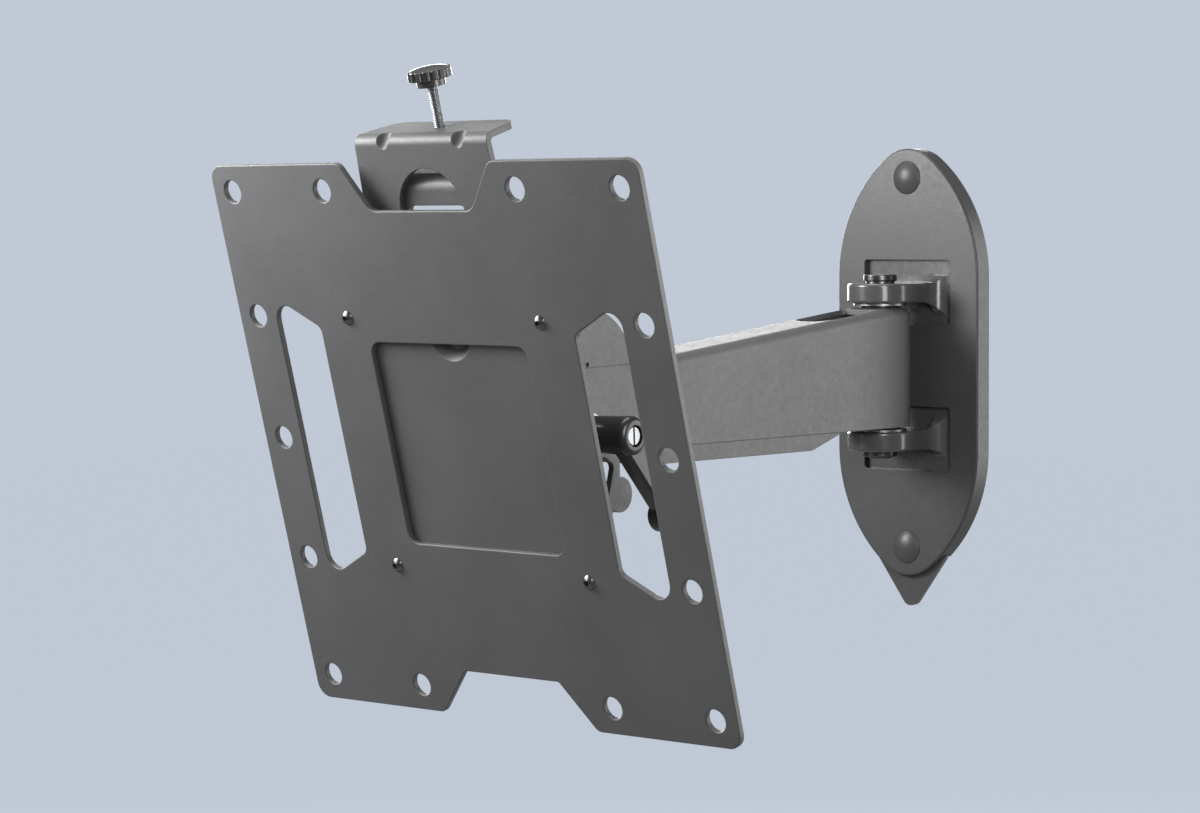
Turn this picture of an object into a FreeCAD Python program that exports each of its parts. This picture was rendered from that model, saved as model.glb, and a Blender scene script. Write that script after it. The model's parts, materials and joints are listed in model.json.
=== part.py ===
import FreeCAD, Part
import math
import os

from FreeCAD import Vector

os.makedirs("parts", exist_ok=True)

# Single-arm tilting and swivelling wall mount for a flat screen.
# Origin: middle of the wall face. +Y points into the wall, -Y is the front, +Z is up.
# All sizes are in millimetres.

# Clearances
pin_clearance = 0.05        # radial, shafts that turn in a bore
assembly_clearance = 0.2    # radial, bolts and sleeves that do not turn
free_clearance = 0.4        # between pieces that must not rub

# Wall plate, its cover and the lugs
cover_half_width = 37.5
cover_half_height = 92.9
cover_flank = 37.0          # half length of the straight sides
cover_tip_radius = 18.9
cover_depth = 8.5
cover_wall = 2.0
cover_edge = 1.0            # rounding of the front rim
base_thick = 6.0
wall_hole_height = 80.3     # above and below the middle
wall_hole_radius = 4.0
lug_thick = 8.5
lug_nose_radius = 14.0
upper_lug_z = 30.7
lower_lug_z = -32.8
lug_to_window = 0.6         # the flared root stops short of the cover's window
lug_sunk = 0.5              # the flare's arcs end inside the base
lug_rise_out = 5.5          # the side ribs rise this far above and below the lug
lug_rise_in = 8.8
lug_rib_inner = 13.0        # the ribs stand outside this half width
lug_edge = 1.2
window_half_width = 23.0
window_half_height = 14.0
tongue_tip_z = -106.1
tongue_tip_radius = 4.2
tongue_tip_half = 2.3
tongue_root_half = 18.6
tongue_root_z = -84.0
tongue_back = 3.0           # the tab stands off the wall
tongue_thick = 2.6
cap_radius = 7.25
cap_rise = 2.4
cap_stem_radius = 6.3
cap_bore_radius = 5.3

# Swivel pin and its stack
swivel_y = -27.6
swivel_pin_radius = 5.0
pin_head_radius = 7.2
pin_head_thick = 3.8
pin_neck = 0.9              # undercut below the head
pin_socket = 2.9            # across the flats, half
pin_tail = 3.4              # below the lower lug
retainer_radius = 7.4
retainer_thick = 2.5
bush_wall = 1.6
bush_length = 12.0
bush_flange_radius = 8.6
bush_flange = 1.0
thrust_washer_radius = 11.5
sleeve_wall = 1.6

# Arm
arm_half_width = 13.0
arm_sheet = 2.5
arm_bend = 4.4
arm_bottom = -26.6
arm_flat_top = 24.4
arm_flat_start = -36.5
arm_slope = 0.107
arm_web_back = 30.0         # front edge of the arm's top, from the tilt axis
arm_top_gap_front = -79.0
arm_top_gap_rear = -41.0
arm_floor_front = -44.0

# Tilt axis and the ears that carry it
tilt_axis_y = -230.0
tilt_axis_z = -19.1
tilt_now = 15.0             # degrees forward, as stored
tilt_travel = 20.0          # degrees from fully forward to fully back
tilt_bolt_radius = 3.0
ear_disc_back = 1.5         # ear disc and foot, from the tilt axis
ear_disc_up = 22.6
ear_disc_radius = 25.1
ear_foot_back = 16.5
ear_foot_down = 37.7
ear_lobe_radius = 7.0
ear_neck_out = 1.8
ear_tip_radius = 4.3
ear_joggle = 0.5
stop_radius = 18.0          # from the tilt axis
stop_angle = 150.0          # at rest, from +Y towards +Z
stop_pin_radius = 2.5
friction_washer_thick = 1.0
friction_washer_radius = 11.0
bolt_head_radius = 5.0
bolt_head_thick = 4.0
outer_washer_radius = 8.0
outer_washer_thick = 1.5

# Cable cover under the arm
cable_cover_front = -196.0
cable_cover_rear = -70.0
cable_cover_ramp = -91.0
cable_cover_drop = 6.7
cable_cover_wall = 1.8
cable_cover_side_gap = 0.2
clip_height = 9.0
clip_length = 14.0
clip_places = (-180.0, -110.0)

# Screen plate, in its own tilted frame: x right, y towards the wall, z up
hole_pitch = 50.0
hole_radius = 4.5
plate_margin = 10.5         # from the outer holes to the plate's edge
plate_thick = 2.5
plate_corner = 6.0
plate_edge = 0.4
notch_to_hole = 9.7         # from the lower notch's mouth to the hole beside it
notch_slope = 15.8          # how far each side of the lower notch leans in
notch_floor_corner = 2.0
top_notch_to_hole = 11.2
top_notch_slope = 12.6
top_notch_floor_corner = 6.0
notch_depth = 18.6
notch_corner = 4.0
slot_to_holes = 10.5        # from the slot to the outer row of holes
slot_width = 23.5
slot_inner_half = 45.7
slot_outer_half = 58.0
slot_corner = 6.0
window_half = 40.5
window_corner = 5.0
axis_behind_plate = 53.0
axis_below_centre = 10.9

# Hook plate behind the screen plate
panel_margin = 8.0          # from the plate screws to the panel's edge
panel_sheet = 2.5
web_set_back = 3.9          # of the upper web, behind the panel
step_low = 62.0
step_high = 68.0
web_half_low = 35.9
web_half_high = 33.9
web_top = 119.3
flange_reach = 27.5
flange_half = 31.5
flange_corner = 8.0
sheet_inner_bend = 1.5
arch_radius = 16.5
arch_centre = 90.0
arch_foot = 80.0
gusset_x = 19.4
gusset_radius = 3.7

# Screws that hold the screen plate on the hook plate
plate_screw_radius = 1.5
plate_screw_head = 2.85
plate_screw_rise = 1.65
plate_screw_socket = 1.0
plate_nut_across = 5.5
plate_nut_height = 2.4
lock_screw_z = 43.8
lock_screw_radius = 2.5
lock_screw_head = 5.4
lock_screw_head_thick = 1.9
lock_screw_socket = 1.5
lock_nut_across = 8.0
lock_nut_height = 4.0
dimple_radius = 10.5        # pressed dimple that seats the lock screw on the hanger plate
dimple_floor_radius = 6.7

# Hanger plate, yoke and hooks
hanger_half = 26.0
hanger_bottom = -50.0
hanger_below_flange = 16.5   # top of the hanger, below the hook plate's flange
hanger_lip_reach = 22.0
hanger_bend = 3.0
hanger_window_half = 15.0
hanger_window_low = 62.0
hanger_window_high = 91.7
hook_inner = 20.0
hook_width = 5.5
hook_rise = 9.0
hook_sheet = 2.0
yoke_play = 0.2             # between the friction washers and the ears
yoke_sheet = 2.5
yoke_web_high = 19.0
yoke_web_low = -41.0
yoke_nose_radius = 14.0
spacer_wall = 2.0

# Thumb screw
thumb_y = 18.5
thumb_stud_radius = 2.0
thumb_show = 15.7           # bare stud above the flange, as stored
thumb_tip_below = 6.0       # stud tip below the top of the flange
thumb_socket_depth = 5.0
thumb_nut_across = 7.0
thumb_nut_height = 3.2
knob_radius = 8.3
knob_rim = 3.7
knob_dome = 1.0
knob_collar_radius = 5.4
knob_collar = 2.7
knob_flutes = 16
knob_flute_radius = 1.0

# Clamp lever on the tilt bolt
hub_radius = 7.0
hub_shoulder_radius = 7.7
hub_rounding = 2.6
hub_end = 37.2
hub_recess_radius = 4.15
hub_floor_in = 26.2
hub_floor_out = 28.2
insert_radius = 4.6
insert_end = 26.0
bolt_reach = 20.5
lever_screw_radius = 2.0
lever_screw_head = 3.7
lever_screw_head_in = 34.2
lever_screw_head_out = 36.5
lever_angle = 37.3          # behind straight down
lever_reach = 40.0
lever_x_in = 28.5
lever_x_out = 36.0
lever_root_half = 6.6
lever_tip_half = 3.6
lever_pad_radius = 6.8
lever_pad_swell = 1.2
lever_edge = 1.2
spring_wire = 0.35
spring_radius = 3.0
spring_turns = 3


def box(x0, x1, y0, y1, z0, z1):
    corner = Vector(min(x0, x1), min(y0, y1), min(z0, z1))
    return Part.makeBox(abs(x1 - x0), abs(y1 - y0), abs(z1 - z0), corner)


def rod_x(radius, x0, x1, y, z):
    return Part.makeCylinder(radius, x1 - x0, Vector(x0, y, z), Vector(1, 0, 0))


def rod_y(radius, y0, y1, x, z):
    return Part.makeCylinder(radius, y1 - y0, Vector(x, y0, z), Vector(0, 1, 0))


def rod_z(radius, z0, z1, x, y):
    return Part.makeCylinder(radius, z1 - z0, Vector(x, y, z0), Vector(0, 0, 1))


def place(plane, a, b, offset):
    if plane == "XY":
        return Vector(a, b, offset)
    if plane == "XZ":
        return Vector(a, offset, b)
    return Vector(offset, a, b)


def rounded_wire(corners, plane, offset):
    """Closed wire through corners given as (a, b, radius); radius 0 keeps a corner sharp."""
    count = len(corners)
    arrivals = []
    for i in range(count):
        a, b, radius = corners[i]
        here = Vector(a, b, 0)
        before = Vector(corners[i - 1][0], corners[i - 1][1], 0)
        after = Vector(corners[(i + 1) % count][0], corners[(i + 1) % count][1], 0)
        if radius == 0:
            arrivals.append((here, None, here))
            continue
        back = (before - here).normalize()
        on = (after - here).normalize()
        half = back.getAngle(on) / 2
        reach = radius / math.tan(half)
        middle = (back + on).normalize()
        deepest = here + middle * (radius / math.sin(half) - radius)
        arrivals.append((here + back * reach, deepest, here + on * reach))
    edges = []
    for i in range(count):
        start, deepest, end = arrivals[i]
        following = arrivals[(i + 1) % count][0]
        if deepest is not None:
            points = [place(plane, p.x, p.y, offset) for p in (start, deepest, end)]
            edges.append(Part.Arc(*points).toShape())
        if (following - end).Length > 1e-6:
            ends = [place(plane, p.x, p.y, offset) for p in (end, following)]
            edges.append(Part.makeLine(*ends))
    return Part.Wire(edges)


def slab(corners, plane, start, end):
    """Solid with a rounded outline in one plane, from start to end along its normal."""
    face = Part.Face(rounded_wire(corners, plane, start))
    return face.extrude(place(plane, 0, 0, end - start))


def mirrored_x(shape):
    return shape.mirror(Vector(0, 0, 0), Vector(1, 0, 0))


def hexagon(across, plane, offset, a, b):
    radius = across / 2 / math.cos(math.pi / 6)
    corners = []
    for k in range(6):
        angle = math.radians(60 * k + 30)
        corners.append((a + radius * math.cos(angle), b + radius * math.sin(angle), 0))
    return rounded_wire(corners, plane, offset)


def hex_bar(across, plane, start, end, a, b):
    face = Part.Face(hexagon(across, plane, start, a, b))
    return face.extrude(place(plane, 0, 0, end - start))


def soften(shape, radius, choose):
    """Round the edges of shape that choose(edge) picks."""
    return shape.makeFillet(radius, [edge for edge in shape.Edges if choose(edge)])


def one(shapes):
    joined = shapes[0]
    if len(shapes) > 1:
        joined = shapes[0].fuse(shapes[1:])
    return joined.removeSplitter()


def save(shape, name):
    solids = shape.Solids
    if len(solids) == 1:
        shape = solids[0]
    else:
        shape = Part.makeCompound(solids)
    shape.exportStep("parts/" + name + ".step")
    print(name, len(solids), round(shape.Volume, 1), shape.isValid())


def to_screen(shape):
    """Move a piece from the screen plate's own frame to its place, leaning forward."""
    moved = shape.copy()
    moved.translate(Vector(0, -axis_behind_plate, axis_below_centre))
    moved.rotate(Vector(0, 0, 0), Vector(1, 0, 0), tilt_now)
    moved.translate(Vector(0, tilt_axis_y, tilt_axis_z))
    return moved


# Sizes that follow from the ones above
cover_rise = cover_half_height - cover_flank
# radius of the long side arcs, tangent to the flanks and to the tip arcs
cover_arc = (cover_half_width ** 2 + cover_rise ** 2 - 2 * cover_tip_radius * cover_rise) \
    / (2 * (cover_half_width - cover_tip_radius))
plate_half = 2 * hole_pitch + plate_margin
notch_mouth_half = hole_pitch - notch_to_hole
notch_floor_half = notch_mouth_half - notch_slope
top_notch_mouth_half = hole_pitch - top_notch_to_hole
top_notch_floor_half = top_notch_mouth_half - top_notch_slope
slot_outer = 2 * hole_pitch - slot_to_holes
slot_inner = slot_outer - slot_width
panel_half = hole_pitch + panel_margin
ear_disc_y = tilt_axis_y + ear_disc_back
ear_disc_z = tilt_axis_z + ear_disc_up
ear_foot_y = tilt_axis_y + ear_foot_back
ear_foot_z = tilt_axis_z - ear_foot_down
arm_web_front = tilt_axis_y + arm_web_back
upper_lug_bottom = upper_lug_z - lug_thick / 2
lower_lug_top = lower_lug_z + lug_thick / 2
bush_radius = swivel_pin_radius + pin_clearance + bush_wall
sleeve_bore = bush_radius + pin_clearance
arm_inner = arm_half_width - arm_sheet
arm_rear = swivel_y + arm_half_width
washer_outside = arm_half_width + outer_washer_thick
panel_back = plate_thick + panel_sheet
web_front = plate_thick + web_set_back
web_back = web_front + panel_sheet
flange_under = web_top - panel_sheet
hanger_top = web_top - hanger_below_flange
hanger_back = web_back + panel_sheet
yoke_half = arm_inner - friction_washer_thick - yoke_play
yoke_inner = yoke_half - yoke_sheet


def oval_wire(inset, offset):
    """Pointed oval: straight flanks, long side arcs and tip arcs, all tangent."""
    half_width = cover_half_width - inset
    half_height = cover_half_height - inset
    arc = cover_arc - inset
    side = arc - half_width
    rise = half_height - cover_flank
    tip = (arc ** 2 - side ** 2 - rise ** 2) / (2 * (arc - rise))
    lean = math.atan2(rise - tip, side)
    meet_x = arc * math.cos(lean) - side
    meet_z = arc * math.sin(lean) + cover_flank
    mid_x = arc * math.cos(lean / 2) - side
    mid_z = arc * math.sin(lean / 2) + cover_flank
    edges = []
    for s in (1, -1):
        flank = [Vector(s * half_width, offset, end * s * cover_flank) for end in (-1, 1)]
        rising = [(half_width, cover_flank), (mid_x, mid_z), (meet_x, meet_z)]
        over = [(meet_x, meet_z), (0, half_height), (-meet_x, meet_z)]
        falling = [(-meet_x, meet_z), (-mid_x, mid_z), (-half_width, cover_flank)]
        edges.append(Part.makeLine(*flank))
        for run in (rising, over, falling):
            edges.append(Part.Arc(*[Vector(s * x, offset, s * z) for x, z in run]).toShape())
    return Part.Wire(edges)


def oval_slab(inset, front, back):
    return Part.Face(oval_wire(inset, front)).extrude(Vector(0, back - front, 0))


def tongue(gap, front, back):
    """Shield-shaped tab below the cover, with a rounded tip."""
    outline = [
        (-tongue_root_half - gap, tongue_root_z, 0),
        (-tongue_tip_half - gap * 0.6, tongue_tip_z - gap, tongue_tip_radius + gap),
        (tongue_tip_half + gap * 0.6, tongue_tip_z - gap, tongue_tip_radius + gap),
        (tongue_root_half + gap, tongue_root_z, 0),
    ]
    return slab(outline, "XZ", front, back)


def lug(height):
    """Cast lug: round nose about the pin, its sides flaring out and up and down into ribs on the base."""
    half = lug_thick / 2
    nose = lug_nose_radius
    front = swivel_y - nose
    root = -base_thick + lug_sunk
    spread = window_half_width - lug_to_window - nose
    rise_up = lug_rise_out if height > 0 else lug_rise_in
    rise_down = lug_rise_in if height > 0 else lug_rise_out
    plan = slab([
        (-nose - spread, -base_thick / 2, 0),
        (-nose - spread, root, 0),
        (-nose, root, spread),
        (-nose, front, nose),
        (nose, front, nose),
        (nose, root, spread),
        (nose + spread, root, 0),
        (nose + spread, -base_thick / 2, 0),
    ], "XY", height - half - rise_down, height + half + rise_up)
    side = slab([
        (front - 1, height - half, 0),
        (front - 1, height + half, 0),
        (root, height + half, rise_up),
        (root, height + half + rise_up, 0),
        (-base_thick / 2, height + half + rise_up, 0),
        (-base_thick / 2, height - half - rise_down, 0),
        (root, height - half - rise_down, 0),
        (root, height - half, rise_down),
    ], "YZ", -nose - spread, nose + spread)
    reach = nose + spread + 1
    tall = half + lug_rise_in + 1
    core = plan.common(box(-reach, reach, front - 1, 0, height - half, height + half))
    core = soften(core, lug_edge,
                  lambda edge: edge.BoundBox.YMax < swivel_y + 0.1 and edge.BoundBox.ZLength < 0.01)
    flared = plan.common(side)
    ribs = []
    for low, high in ((-reach, -lug_rib_inner), (lug_rib_inner, reach)):
        ribs.append(flared.common(box(low, high, root - lug_rise_in, 0, height - tall, height + tall)))
    return one([core] + ribs)


def wall_bracket():
    base = oval_slab(cover_wall + free_clearance, -base_thick, 0)
    tab = tongue(0, -tongue_back - tongue_thick, -tongue_back)
    body = one([base, tab, lug(upper_lug_z), lug(lower_lug_z)])
    bore = swivel_pin_radius + pin_clearance
    body = body.cut(rod_z(bore, lower_lug_z - lug_thick, upper_lug_z + lug_thick, 0, swivel_y))
    for side in (1, -1):
        body = body.cut(rod_y(wall_hole_radius, -base_thick - 1, 1, 0, side * wall_hole_height))
    return body


def wall_cover():
    shell = oval_slab(0, -cover_depth, 0)
    shell = soften(shell, cover_edge, lambda edge: edge.BoundBox.YMax < -cover_depth + 0.01)
    shell = shell.cut(oval_slab(cover_wall, -cover_depth + cover_wall, 1))
    for height in (upper_lug_z, lower_lug_z):
        corners = []
        for x, z in ((-1, -1), (1, -1), (1, 1), (-1, 1)):
            corners.append((x * window_half_width, height + z * window_half_height, 1.5))
        shell = shell.cut(slab(corners, "XZ", -cover_depth - 1, 0))
    for side in (1, -1):
        hole = rod_y(cap_stem_radius + pin_clearance, -cover_depth - 1, 0, 0, side * wall_hole_height)
        shell = shell.cut(hole)
    return shell.cut(tongue(free_clearance, -tongue_back - tongue_thick - free_clearance, 1))


def screw_cap(side):
    """Domed cap with a hollow stem that plugs the cover over a fixing screw."""
    height = side * wall_hole_height
    ball = (cap_radius ** 2 + cap_rise ** 2) / (2 * cap_rise)
    dome = Part.makeSphere(ball, Vector(0, -cover_depth - cap_rise + ball, height))
    dome = dome.common(rod_y(cap_radius, -cover_depth - cap_rise - 1, -cover_depth, 0, height))
    stem = rod_y(cap_stem_radius, -cover_depth, -base_thick, 0, height)
    hollow = rod_y(cap_bore_radius, -cover_depth - cap_rise / 3, -base_thick, 0, height)
    return one([dome, stem]).cut(hollow)


def screw_caps():
    return Part.makeCompound([screw_cap(1), screw_cap(-1)])


def swivel_pin():
    top = upper_lug_z + lug_thick / 2
    bottom = lower_lug_z - lug_thick / 2 - pin_tail
    shaft = rod_z(swivel_pin_radius, bottom, top, 0, swivel_y)
    shaft = soften(shaft, 0.8, lambda edge: edge.BoundBox.ZMax < bottom + 0.01)
    neck = rod_z(pin_head_radius - pin_neck, top, top + pin_neck, 0, swivel_y)
    head = rod_z(pin_head_radius, top + pin_neck, top + pin_head_thick, 0, swivel_y)
    head = soften(head, 0.6, lambda edge: edge.BoundBox.ZLength < 0.01)
    socket = hex_bar(2 * pin_socket, "XY", top - 1, top + pin_head_thick + 1, 0, swivel_y)
    return one([shaft, neck, head]).cut(socket)


def swivel_retainer():
    top = lower_lug_z - lug_thick / 2
    ring = rod_z(retainer_radius, top - retainer_thick, top, 0, swivel_y)
    ring = soften(ring, 0.6, lambda edge: edge.BoundBox.ZMax < top - retainer_thick + 0.01)
    return ring.cut(rod_z(swivel_pin_radius + pin_clearance, top - 5, top + 1, 0, swivel_y))


def thrust_washer(low, high):
    disc = rod_z(thrust_washer_radius, low, high, 0, swivel_y)
    return disc.cut(rod_z(swivel_pin_radius + pin_clearance, low - 1, high + 1, 0, swivel_y))


def swivel_bush(face, inward):
    """Flanged plastic bush: face is the arm's outer face, inward is +1 or -1 along Z."""
    flange = rod_z(bush_flange_radius, min(face, face - inward * bush_flange),
                   max(face, face - inward * bush_flange), 0, swivel_y)
    low = min(face, face + inward * bush_length)
    high = max(face, face + inward * bush_length)
    barrel = rod_z(bush_radius, low, high, 0, swivel_y)
    bore = rod_z(swivel_pin_radius + pin_clearance, low - 5, high + 5, 0, swivel_y)
    return one([flange, barrel]).cut(bore)


def pivot_sleeve():
    low = arm_bottom + arm_sheet
    high = arm_flat_top - arm_sheet
    tube = rod_z(sleeve_bore + sleeve_wall, low, high, 0, swivel_y)
    return tube.cut(rod_z(sleeve_bore, low - 1, high + 1, 0, swivel_y))


def arm_top(y):
    return arm_flat_top + arm_slope * (y - arm_flat_start)


def arm_envelope(inset, front):
    corners = [
        (front, arm_bottom + inset, 0),
        (front, arm_top(front) - inset, 0),
        (arm_flat_start, arm_flat_top - inset, 0),
        (arm_rear - inset, arm_flat_top - inset, 0),
        (arm_rear - inset, arm_bottom + inset, 0),
    ]
    half = arm_half_width - inset
    sides = slab(corners, "YZ", -half, half)
    tall = arm_flat_top - arm_bottom + 2
    plan = one([
        box(-half, half, front - 1, swivel_y, arm_bottom - 1, arm_bottom - 1 + tall),
        rod_z(half, arm_bottom - 1, arm_bottom - 1 + tall, 0, swivel_y),
    ])
    return sides.common(plan)


def ear_plate():
    """One ear in the side view, from the arm's inner face to its outer face."""
    corners = [
        (ear_disc_y - ear_disc_radius, ear_disc_z, 0),
        (ear_disc_y - ear_disc_radius, tilt_axis_z - 14, 14),
        (tilt_axis_y + 2, ear_foot_z, 8),
        (ear_foot_y - 2 * ear_tip_radius + 5, ear_foot_z, ear_tip_radius),
        (ear_foot_y - 1.5, ear_foot_z + 10, 0),
        (ear_foot_y + ear_neck_out, ear_foot_z + 18, 0),
        (ear_foot_y + ear_neck_out, arm_bottom, 2.5),
        (arm_web_front + 1, arm_bottom, 0),
        (arm_web_front + 1, arm_top(arm_web_front + 1) - arm_sheet, 0),
        (arm_web_front - 4, arm_top(arm_web_front - 4) - 1, 0),
    ]
    body = slab(corners, "YZ", arm_inner, arm_half_width)
    disc = rod_x(ear_disc_radius, arm_inner, arm_half_width, ear_disc_y, ear_disc_z)
    lobe_y = ear_foot_y + 2
    lobe_z = ear_foot_z + 13
    lobe = rod_x(ear_lobe_radius, arm_inner, arm_half_width, lobe_y, lobe_z)
    return one([body, disc, lobe])


def stop_slot():
    """Arc slot for the stop pin, as long as the tilt travel."""
    parts = []
    radius = stop_pin_radius + free_clearance
    middle_angle = stop_angle - tilt_travel / 2
    for angle in (stop_angle, stop_angle - tilt_travel):
        y = tilt_axis_y + stop_radius * math.cos(math.radians(angle))
        z = tilt_axis_z + stop_radius * math.sin(math.radians(angle))
        parts.append(rod_x(radius, -arm_half_width - 1, arm_half_width + 1, y, z))
    ring = rod_x(stop_radius + radius, -arm_half_width - 1, arm_half_width + 1, tilt_axis_y, tilt_axis_z)
    ring = ring.cut(rod_x(stop_radius - radius, -arm_half_width - 2, arm_half_width + 2,
                          tilt_axis_y, tilt_axis_z))
    reach = stop_radius * 3
    wedge = []
    for angle in (middle_angle - tilt_travel / 2, middle_angle + tilt_travel / 2):
        wedge.append((tilt_axis_y + reach * math.cos(math.radians(angle)),
                      tilt_axis_z + reach * math.sin(math.radians(angle)), 0))
    sector = slab([(tilt_axis_y, tilt_axis_z, 0)] + wedge, "YZ", -arm_half_width - 1, arm_half_width + 1)
    return one([ring.common(sector)] + parts)


def arm_channel():
    outer = arm_envelope(0, arm_web_front)
    outer = soften(outer, arm_bend, lambda edge: edge.BoundBox.ZMin > arm_top(arm_web_front) - 0.1
                   and edge.BoundBox.ZMax < arm_flat_top + 0.1 and edge.Length > 8
                   and abs(edge.CenterOfMass.x) > 5)
    shell = outer.cut(arm_envelope(arm_sheet, arm_web_front - 5))
    under = box(-arm_inner, arm_inner, arm_web_front - 5, arm_floor_front,
                arm_bottom - 1, arm_bottom + arm_sheet + 1)
    shell = shell.cut(under)
    gap_half = arm_inner - 1.0
    gap_corners = [
        (-gap_half, arm_top_gap_front, gap_half * 0.9),
        (gap_half, arm_top_gap_front, gap_half * 0.9),
        (gap_half, arm_top_gap_rear, 2),
        (-gap_half, arm_top_gap_rear, 2),
    ]
    shell = shell.cut(slab(gap_corners, "XY", 0, arm_flat_top + 5))
    ear = ear_plate()
    above = slab([
        (ear_disc_y - ear_disc_radius - 1, arm_top(arm_web_front) - 1.5, 0),
        (arm_web_front - 1, arm_top(arm_web_front), 0),
        (arm_web_front - 1, ear_disc_z + ear_disc_radius + 1, 0),
        (ear_disc_y - ear_disc_radius - 1, ear_disc_z + ear_disc_radius + 1, 0),
    ], "YZ", arm_half_width - ear_joggle, arm_half_width + 1)
    upper = ear.common(above)
    upper.translate(Vector(-arm_sheet, 0, 0))
    ear = one([ear.cut(above), upper])
    body = one([shell, ear, mirrored_x(ear)])
    body = body.cut(rod_x(tilt_bolt_radius + pin_clearance, -20, 20, tilt_axis_y, tilt_axis_z))
    body = body.cut(stop_slot())
    view_hole = [
        (tilt_axis_y + 4.5, tilt_axis_z - 10.6, 2.5),
        (tilt_axis_y + 9.5, tilt_axis_z - 9.6, 2.5),
        (tilt_axis_y + 15.0, tilt_axis_z - 13.0, 2.5),
        (tilt_axis_y + 11.2, tilt_axis_z - 27.5, 2.0),
        (tilt_axis_y + 6.0, tilt_axis_z - 27.5, 2.0),
    ]
    body = body.cut(slab(view_hole, "YZ", -20, 20))
    body = body.cut(rod_x(0.9, -20, 20, tilt_axis_y + 0.3, arm_top(arm_web_front) + 0.4))
    return body.cut(rod_z(sleeve_bore, arm_bottom - 1, arm_flat_top + 1, 0, swivel_y))


def cable_cover():
    """Trough clipped under the arm, its rear end ramping up to the arm's lower edge."""
    half = arm_half_width - cable_cover_side_gap
    low = arm_bottom - cable_cover_drop
    def trough(inset):
        return slab([
            (cable_cover_front + inset, arm_bottom + (1 if inset else 0), 0),
            (cable_cover_front + inset, low + inset, 3),
            (cable_cover_ramp - inset, low + inset, 12),
            (cable_cover_rear - 2 * inset, arm_bottom + (1 if inset else 0), 0),
        ], "YZ", -half + inset, half - inset)
    body = trough(0).cut(trough(cable_cover_wall))
    clips = []
    outer = arm_inner - free_clearance
    for y in clip_places:
        for side in (1, -1):
            strip = box(side * (outer - cable_cover_wall), side * outer, y, y + clip_length,
                        arm_bottom - 1.5, arm_bottom + clip_height)
            foot = box(side * (outer - cable_cover_wall), side * (half - 0.5), y, y + clip_length,
                       arm_bottom - 2.5, arm_bottom)
            clips.append(strip)
            clips.append(foot)
    return one([body] + clips)


def tilt_bolt():
    head_in = -washer_outside
    head = rod_x(bolt_head_radius, head_in - bolt_head_thick, head_in, tilt_axis_y, tilt_axis_z)
    head = soften(head, 0.8, lambda edge: edge.BoundBox.XMax < head_in - bolt_head_thick + 0.01)
    shank = rod_x(tilt_bolt_radius, head_in, bolt_reach, tilt_axis_y, tilt_axis_z)
    socket = hex_bar(5.0, "YZ", head_in - bolt_head_thick - 1, head_in - 1.6, tilt_axis_y, tilt_axis_z)
    return one([head, shank]).cut(socket)


def tilt_ring(radius, x0, x1):
    ring = rod_x(radius, x0, x1, tilt_axis_y, tilt_axis_z)
    return ring.cut(rod_x(tilt_bolt_radius + pin_clearance, x0 - 1, x1 + 1, tilt_axis_y, tilt_axis_z))


def outer_washers():
    right = tilt_ring(outer_washer_radius, arm_half_width, washer_outside)
    left = tilt_ring(outer_washer_radius, -washer_outside, -arm_half_width)
    return Part.makeCompound([right, left])


def friction_washers():
    right = tilt_ring(friction_washer_radius, yoke_half, yoke_half + friction_washer_thick)
    left = tilt_ring(friction_washer_radius, -yoke_half - friction_washer_thick, -yoke_half)
    return Part.makeCompound([right, left])


def screen_plate():
    half = plate_half
    floor = half - notch_depth
    corners = [
        (-half, half, plate_corner),
        (-top_notch_mouth_half, half, notch_corner),
        (-top_notch_floor_half, floor, top_notch_floor_corner),
        (top_notch_floor_half, floor, top_notch_floor_corner),
        (top_notch_mouth_half, half, notch_corner),
        (half, half, plate_corner),
        (half, -half, plate_corner),
        (notch_mouth_half, -half, notch_corner),
        (notch_floor_half, -floor, notch_floor_corner),
        (-notch_floor_half, -floor, notch_floor_corner),
        (-notch_mouth_half, -half, notch_corner),
        (-half, -half, plate_corner),
    ]
    body = slab(corners, "XZ", 0, plate_thick)
    slot = [
        (slot_inner, -slot_inner_half, notch_corner),
        (slot_inner, slot_inner_half, notch_corner),
        (slot_outer, slot_outer_half, slot_corner),
        (slot_outer, -slot_outer_half, slot_corner),
    ]
    cutter = slab(slot, "XZ", -1, plate_thick + 1)
    body = body.cut(cutter).cut(mirrored_x(cutter))
    corners = []
    for x, z in ((-1, -1), (1, -1), (1, 1), (-1, 1)):
        corners.append((x * window_half, z * window_half, window_corner))
    body = body.cut(slab(corners, "XZ", -1, plate_thick + 1))
    for x, z in screen_hole_places():
        body = body.cut(rod_y(hole_radius, -1, plate_thick + 1, x, z))
    for x, z in plate_screw_places():
        body = body.cut(rod_y(plate_screw_radius + assembly_clearance, -1, plate_thick + 1, x, z))
    return soften(body, plate_edge,
                  lambda edge: edge.BoundBox.YMax < 0.001 or edge.BoundBox.YMin > plate_thick - 0.001)


def screen_hole_places():
    """Holes on the 50 mm grid: five down each side and two more along the top and bottom."""
    far = 2 * hole_pitch
    places = []
    for x in (-far, far):
        for step in range(-2, 3):
            places.append((x, step * hole_pitch))
    for x in (-hole_pitch, hole_pitch):
        for z in (-far, far):
            places.append((x, z))
    return places


def plate_screw_places():
    return [(x * hole_pitch, z * hole_pitch) for x in (-1, 1) for z in (-1, 1)]


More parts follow.
